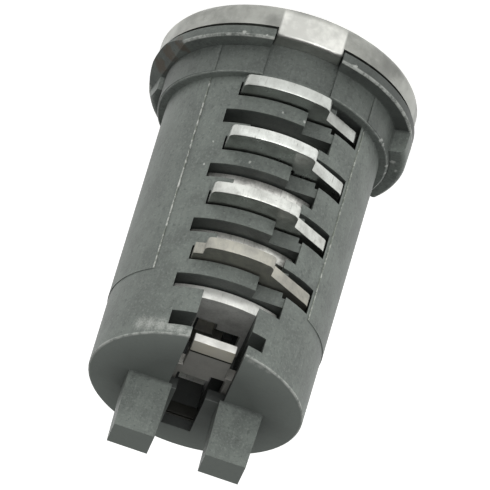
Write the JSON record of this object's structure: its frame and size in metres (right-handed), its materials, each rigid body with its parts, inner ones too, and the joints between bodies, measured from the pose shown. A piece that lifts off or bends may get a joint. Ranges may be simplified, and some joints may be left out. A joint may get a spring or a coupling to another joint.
{
  "type": "caravan lock cylinder",
  "caption": "Wafer lock plug with a capped round head, stop segment, sprung wafers standing out of slotted panels and drive tangs at the tail.",
  "frame": {"origin": "centre of the cap's outer face, where the plug's axis comes out of the keyhole", "axes": "+Z along the plug's axis from the face to the tail, -Y out of the panel that shows the odd wafers, X across the keyway"},
  "size_m": [0.0168, 0.017, 0.0275],
  "materials": {
    "zinc": "as cast, dull grey",
    "stainless": "satin",
    "plated_brass": "bright nickel plate, lightly worn",
    "spring_steel": "drawn wire"
  },
  "bodies": {
    "plug": {"plug_body": "zinc", "face_cap": "stainless", "shutter_pin": "spring_steel", "shutter_spring": "spring_steel", "wafer_spring_1": "spring_steel", "wafer_spring_2": "spring_steel", "wafer_spring_3": "spring_steel", "wafer_spring_4": "spring_steel", "wafer_spring_5": "spring_steel", "wafer_spring_6": "spring_steel", "wafer_spring_7": "spring_steel", "wafer_spring_8": "spring_steel", "retainer_spring": "spring_steel"},
    "wafer_1": {"wafer_1": "plated_brass"},
    "wafer_2": {"wafer_2": "plated_brass"},
    "wafer_3": {"wafer_3": "plated_brass"},
    "wafer_4": {"wafer_4": "plated_brass"},
    "wafer_5": {"wafer_5": "plated_brass"},
    "wafer_6": {"wafer_6": "plated_brass"},
    "wafer_7": {"wafer_7": "plated_brass"},
    "wafer_8": {"wafer_8": "plated_brass"},
    "retainer": {"retainer_wafer": "plated_brass"},
    "shutter": {"dust_shutter": "stainless"}
  },
  "joints": [
    {"name": "wafer_1_slide", "type": "slide", "parent": "plug", "child": "wafer_1", "axis": [0, 1, 0], "range_m": [0, 0.0018], "stiffness_N_per_m": 5, "springref_m": -0.002, "deforming": ["wafer_spring_1"]},
    {"name": "wafer_2_slide", "type": "slide", "parent": "plug", "child": "wafer_2", "axis": [0, -1, 0], "range_m": [0, 0.00225], "stiffness_N_per_m": 5, "springref_m": -0.002, "deforming": ["wafer_spring_2"]},
    {"name": "wafer_3_slide", "type": "slide", "parent": "plug", "child": "wafer_3", "axis": [0, 1, 0], "range_m": [0, 0.00233], "stiffness_N_per_m": 5, "springref_m": -0.002, "deforming": ["wafer_spring_3"]},
    {"name": "wafer_4_slide", "type": "slide", "parent": "plug", "child": "wafer_4", "axis": [0, -1, 0], "range_m": [0, 0.0015], "stiffness_N_per_m": 5, "springref_m": -0.002, "deforming": ["wafer_spring_4"]},
    {"name": "wafer_5_slide", "type": "slide", "parent": "plug", "child": "wafer_5", "axis": [0, 1, 0], "range_m": [0, 0.00203], "stiffness_N_per_m": 5, "springref_m": -0.002, "deforming": ["wafer_spring_5"]},
    {"name": "wafer_6_slide", "type": "slide", "parent": "plug", "child": "wafer_6", "axis": [0, -1, 0], "range_m": [0, 0.00173], "stiffness_N_per_m": 5, "springref_m": -0.002, "deforming": ["wafer_spring_6"]},
    {"name": "wafer_7_slide", "type": "slide", "parent": "plug", "child": "wafer_7", "axis": [0, 1, 0], "range_m": [0, 0.00206], "stiffness_N_per_m": 5, "springref_m": -0.002, "deforming": ["wafer_spring_7"]},
    {"name": "wafer_8_slide", "type": "slide", "parent": "plug", "child": "wafer_8", "axis": [0, -1, 0], "range_m": [0, 0.00167], "stiffness_N_per_m": 5, "springref_m": -0.002, "deforming": ["wafer_spring_8"]},
    {"name": "retainer_slide", "type": "slide", "parent": "plug", "child": "retainer", "axis": [0, -1, 0], "range_m": [0, 0.0009], "stiffness_N_per_m": 5, "springref_m": -0.002, "deforming": ["retainer_spring"]},
    {"name": "shutter_hinge", "type": "hinge", "parent": "plug", "child": "shutter", "pos_m": [0.00195, 0, 0.00095], "axis": [0, 1, 0], "range_deg": [0, 88], "stiffness_Nm_per_rad": 0.000002, "springref_deg": -45.84, "deforming": ["shutter_spring"]}
  ]
}
